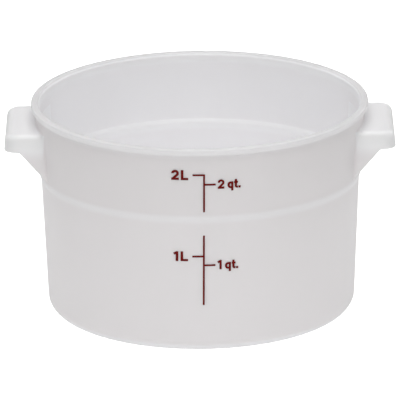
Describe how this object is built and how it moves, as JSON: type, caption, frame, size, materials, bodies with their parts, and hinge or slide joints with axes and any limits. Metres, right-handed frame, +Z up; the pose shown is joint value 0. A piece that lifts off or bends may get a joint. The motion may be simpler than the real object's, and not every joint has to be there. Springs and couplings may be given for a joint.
{
  "type": "round food storage container",
  "caption": "Round open-topped white plastic food storage tub with a rim bead, stacking shoulder, hollow side handles and a printed capacity scale.",
  "frame": {"origin": "on the tub's axis, in the plane of the foot ring that it stands on", "axes": "+Z up along the tub's axis, +X towards one ear handle, and the printed scale faces -Y"},
  "size_m": [0.2058, 0.178, 0.1132],
  "materials": {
    "white_polyethylene": "satin as moulded, slightly translucent",
    "scale_ink": "screen-printed matt ink"
  },
  "bodies": {
    "root": {"container_body": "white_polyethylene", "scale_print_upper": "scale_ink", "scale_print_lower": "scale_ink"}
  },
  "joints": []
}
